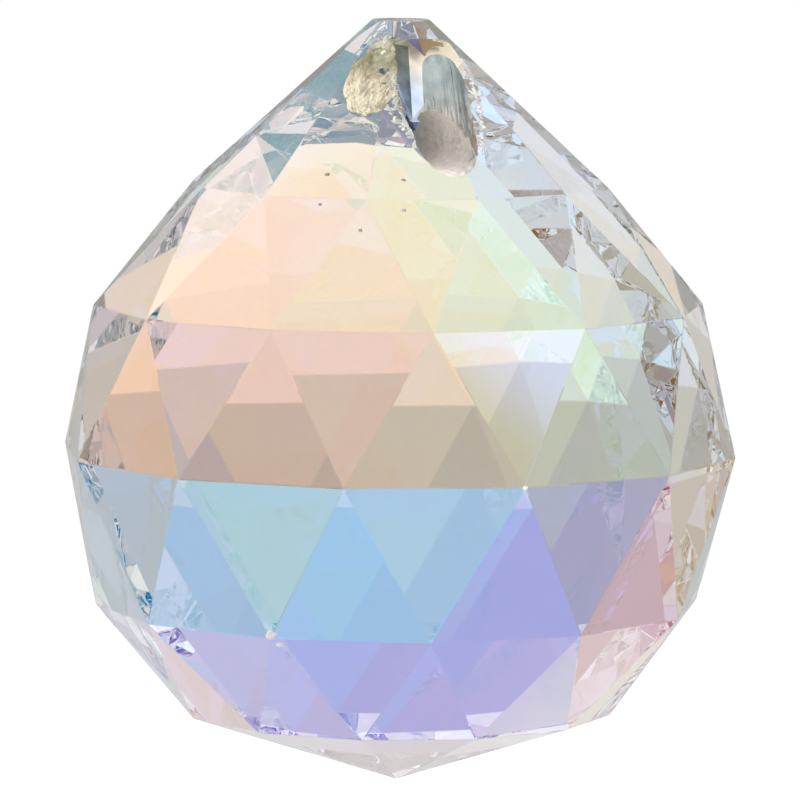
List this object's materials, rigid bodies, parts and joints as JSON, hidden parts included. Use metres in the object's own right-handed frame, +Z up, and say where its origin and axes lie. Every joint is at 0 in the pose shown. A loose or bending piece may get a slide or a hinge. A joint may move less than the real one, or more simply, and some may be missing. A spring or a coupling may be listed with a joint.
{
  "type": "crystal ball prism suncatcher",
  "caption": "Clear faceted crystal ball drawn up to a twelve-sided cone, drilled crosswise near the top so that it hangs from a cord or ring and throws coloured light.",
  "frame": {"origin": "middle of the hanging hole, on the ball's own axis", "axes": "+Z up along the ball's axis to the small flat on top, +Y along the hanging hole, +X to the right"},
  "size_m": [0.04, 0.04, 0.045],
  "materials": {
    "crystal": "clear, polished, with a thin iridescent coating; the hole's wall is ground and frosted"
  },
  "bodies": {
    "root": {"crystal_ball": "crystal"}
  },
  "joints": []
}
